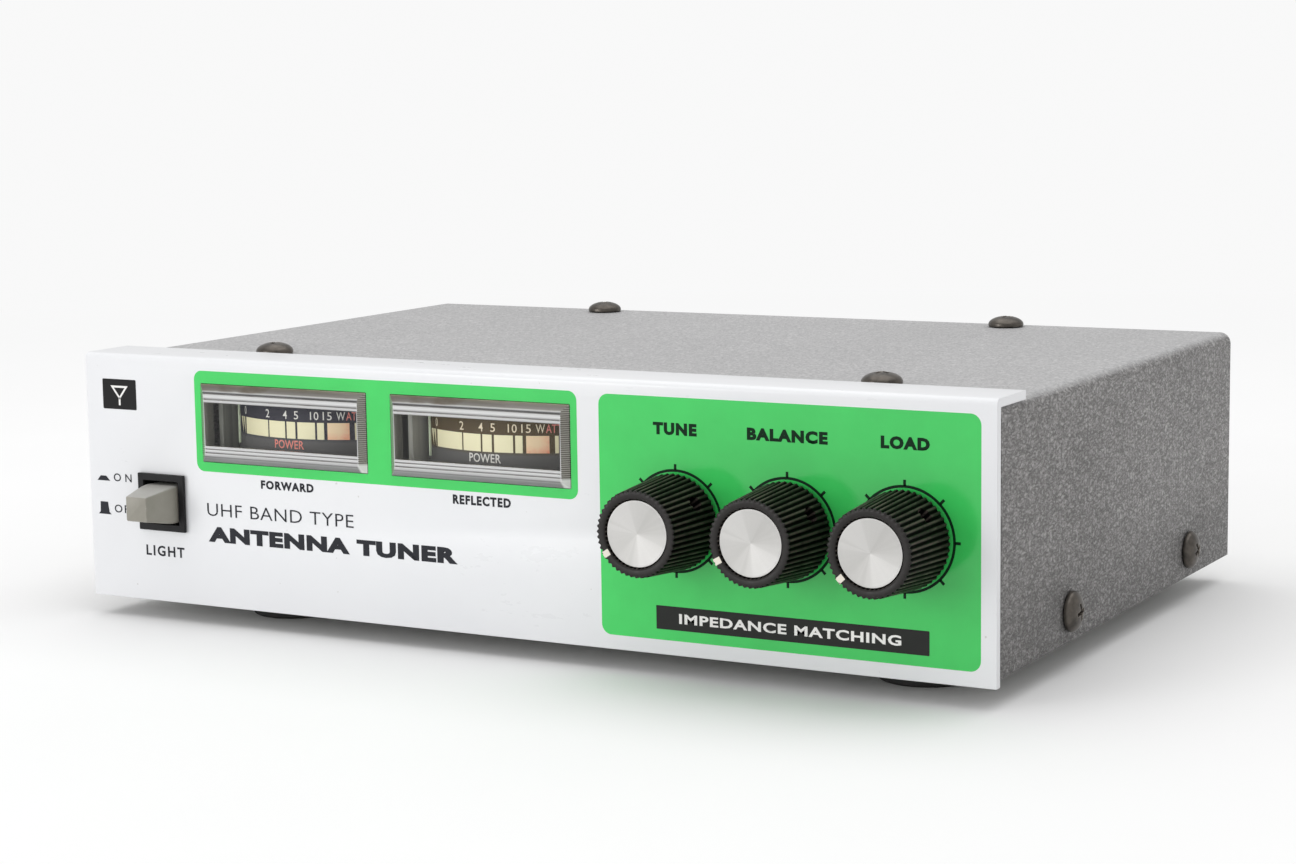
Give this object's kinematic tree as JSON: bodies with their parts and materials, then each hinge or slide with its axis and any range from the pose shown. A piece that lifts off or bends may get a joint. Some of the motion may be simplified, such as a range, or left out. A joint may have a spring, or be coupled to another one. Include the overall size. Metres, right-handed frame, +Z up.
{
  "type": "antenna tuner",
  "caption": "Flat sheet-metal antenna tuner with edgewise power meters, a lamp push button, fluted control knobs on variable capacitors and coaxial sockets behind.",
  "frame": {"origin": "on the plane that the feet stand on, under the middle of the whole object's box", "axes": "+X to the right seen from the front, the front panel faces -Y, +Z up"},
  "size_m": [0.2456, 0.1888, 0.0666],
  "materials": {
    "panel_metal": "satin, near white, printed in green and black",
    "cover_paint": "grey paint with a fine leather grain",
    "chassis_steel": "plated sheet steel",
    "screw_metal": "dark bronzed steel",
    "rubber": "matt black rubber",
    "clear_plastic": "clear polished acrylic",
    "meter_plastic": "grey moulded plastic",
    "dial_print": "dark printed scale with cream and orange segments",
    "needle_metal": "pale painted aluminium",
    "copper": "enamelled copper winding",
    "magnet_steel": "dark magnet steel",
    "lamp_glass": "clear bulb",
    "black_plastic": "black moulded plastic",
    "grey_plastic": "warm grey moulded plastic",
    "knob_plastic": "black fluted phenolic, semi-gloss",
    "spun_aluminium": "spun-finished disc",
    "zinc_steel": "zinc-plated steel",
    "nickel": "nickel plate",
    "brass": "plain brass",
    "circuit_board": "paper-based circuit board"
  },
  "bodies": {
    "cabinet": {"balance_bushing_nut": "nickel", "balance_capacitor_frame": "nickel", "balance_capacitor_stator": "brass", "chassis": "chassis_steel", "coupler_board": "circuit_board", "cover": "cover_paint", "cover_screw_left_front": "screw_metal", "cover_screw_left_rear": "screw_metal", "cover_screw_right_front": "screw_metal", "cover_screw_right_rear": "screw_metal", "cover_screw_top_front_left": "screw_metal", "cover_screw_top_front_right": "screw_metal", "cover_screw_top_rear_left": "screw_metal", "cover_screw_top_rear_right": "screw_metal", "foot_front_left": "rubber", "foot_front_right": "rubber", "foot_rear_left": "rubber", "foot_rear_right": "rubber", "forward_case": "meter_plastic", "forward_dial": "dial_print", "forward_lamp": "lamp_glass", "forward_lens": "clear_plastic", "forward_magnet": "magnet_steel", "front_panel": "panel_metal", "input_contact": "brass", "input_socket": "nickel", "lamp_supply_jack": "black_plastic", "load_bushing_nut": "nickel", "load_capacitor_frame": "nickel", "load_capacitor_stator": "brass", "output_contact": "brass", "output_socket": "nickel", "reflected_case": "meter_plastic", "reflected_dial": "dial_print", "reflected_lamp": "lamp_glass", "reflected_lens": "clear_plastic", "reflected_magnet": "magnet_steel", "switch_bezel": "black_plastic", "switch_body": "meter_plastic", "switch_spring": "zinc_steel", "tune_bushing_nut": "nickel", "tune_capacitor_frame": "nickel", "tune_capacitor_stator": "brass"},
    "button": {"switch_button": "grey_plastic"},
    "tune_shaft": {"tune_knob": "knob_plastic", "tune_knob_inlay": "spun_aluminium", "tune_set_screw": "zinc_steel", "tune_capacitor_rotor": "brass"},
    "balance_shaft": {"balance_knob": "knob_plastic", "balance_knob_inlay": "spun_aluminium", "balance_set_screw": "zinc_steel", "balance_capacitor_rotor": "brass"},
    "load_shaft": {"load_knob": "knob_plastic", "load_knob_inlay": "spun_aluminium", "load_set_screw": "zinc_steel", "load_capacitor_rotor": "brass"},
    "forward_movement": {"forward_needle": "needle_metal", "forward_coil": "copper"},
    "reflected_movement": {"reflected_needle": "needle_metal", "reflected_coil": "copper"}
  },
  "joints": [
    {"name": "light_button_press", "type": "slide", "parent": "cabinet", "child": "button", "axis": [0, 1, 0], "range_m": [0, 0.0045]},
    {"name": "tune_turn", "type": "hinge", "parent": "cabinet", "child": "tune_shaft", "pos_m": [0.0451, -0.07615, 0.03485], "axis": [0, 1, 0], "continuous": true},
    {"name": "balance_turn", "type": "hinge", "parent": "cabinet", "child": "balance_shaft", "pos_m": [0.0722, -0.07615, 0.03485], "axis": [0, 1, 0], "continuous": true},
    {"name": "load_turn", "type": "hinge", "parent": "cabinet", "child": "load_shaft", "pos_m": [0.0994, -0.07615, 0.03485], "axis": [0, 1, 0], "continuous": true},
    {"name": "forward_needle_swing", "type": "hinge", "parent": "cabinet", "child": "forward_movement", "pos_m": [-0.06035, -0.04, 0.04975], "axis": [0, 0, 1], "range_deg": [0, 54]},
    {"name": "reflected_needle_swing", "type": "hinge", "parent": "cabinet", "child": "reflected_movement", "pos_m": [-0.00545, -0.04, 0.04975], "axis": [0, 0, 1], "range_deg": [0, 54]}
  ]
}
